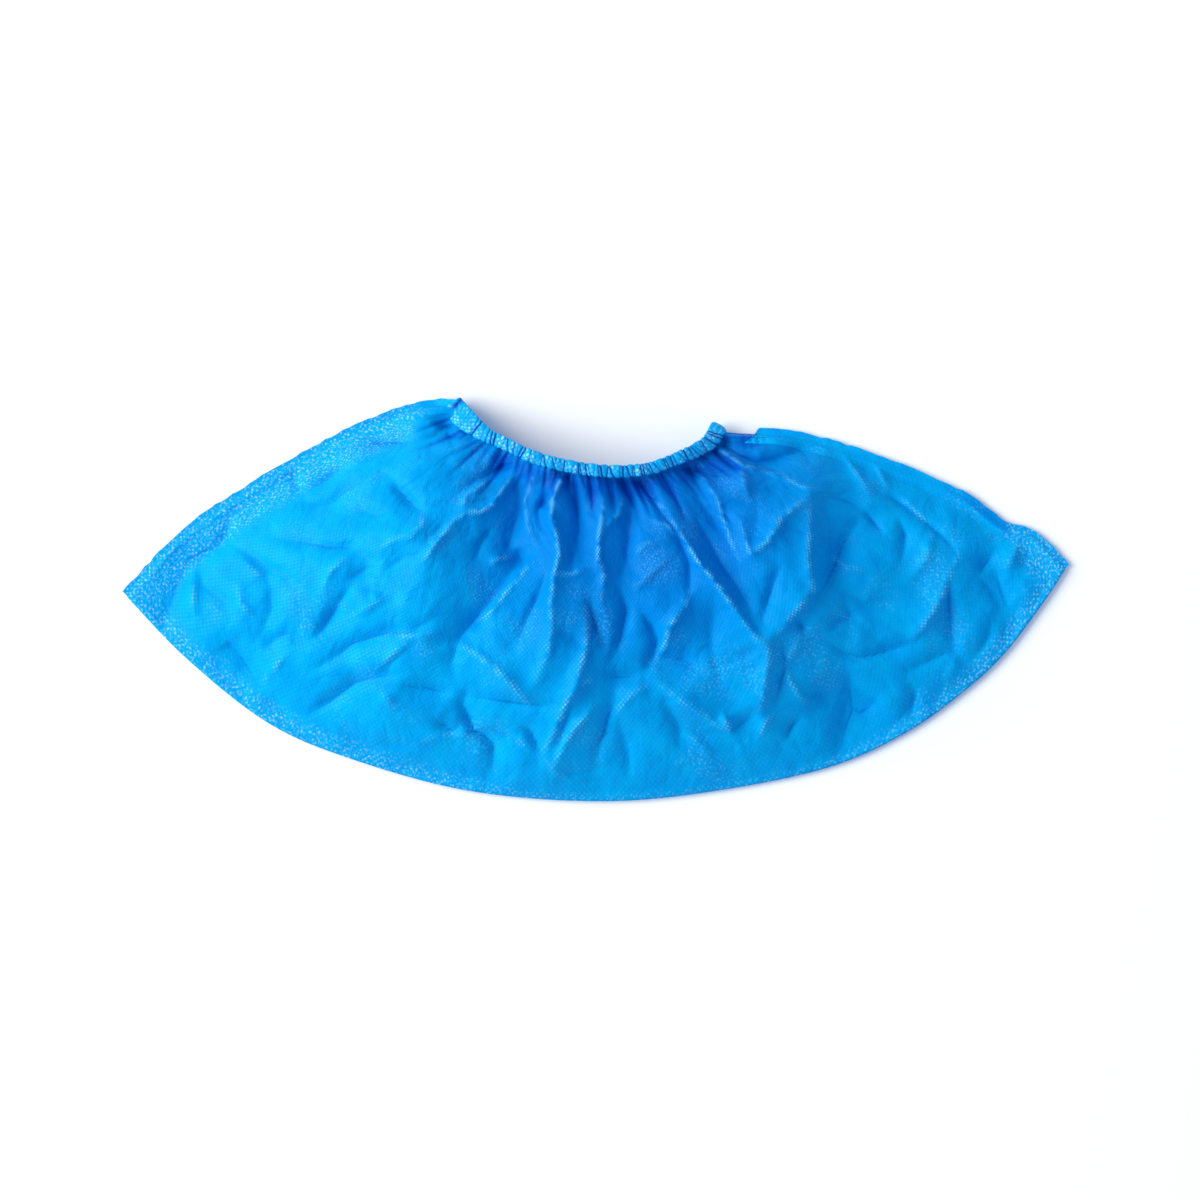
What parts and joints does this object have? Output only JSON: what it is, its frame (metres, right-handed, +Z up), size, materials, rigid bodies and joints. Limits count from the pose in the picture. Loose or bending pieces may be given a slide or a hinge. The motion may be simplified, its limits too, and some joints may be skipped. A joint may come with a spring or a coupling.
{
  "type": "disposable shoe cover",
  "caption": "Slack nonwoven overshoe lying on its side: one sheet folded at the sole, welded at both ends, its open collar gathered on a hemmed elastic.",
  "frame": {"origin": "on the floor, under the middle of the cover's overall box as it lies on its side", "axes": "+X from the toe end to the heel end, +Y from the sole fold to the collar, +Z up from the floor"},
  "size_m": [0.3496, 0.1496, 0.0368],
  "materials": {
    "nonwoven": "spunbond polypropylene, crumpled, with a fine embossed dot",
    "hem": "spunbond polypropylene, turned over and gathered",
    "elastic": "flat elastic, pale, matt",
    "weld": "spunbond polypropylene, pressed and fused, slightly glossy"
  },
  "bodies": {
    "root": {"upper": "nonwoven", "collar_hem": "hem", "elastic": "elastic", "toe_weld": "weld", "heel_weld": "weld"}
  },
  "joints": []
}
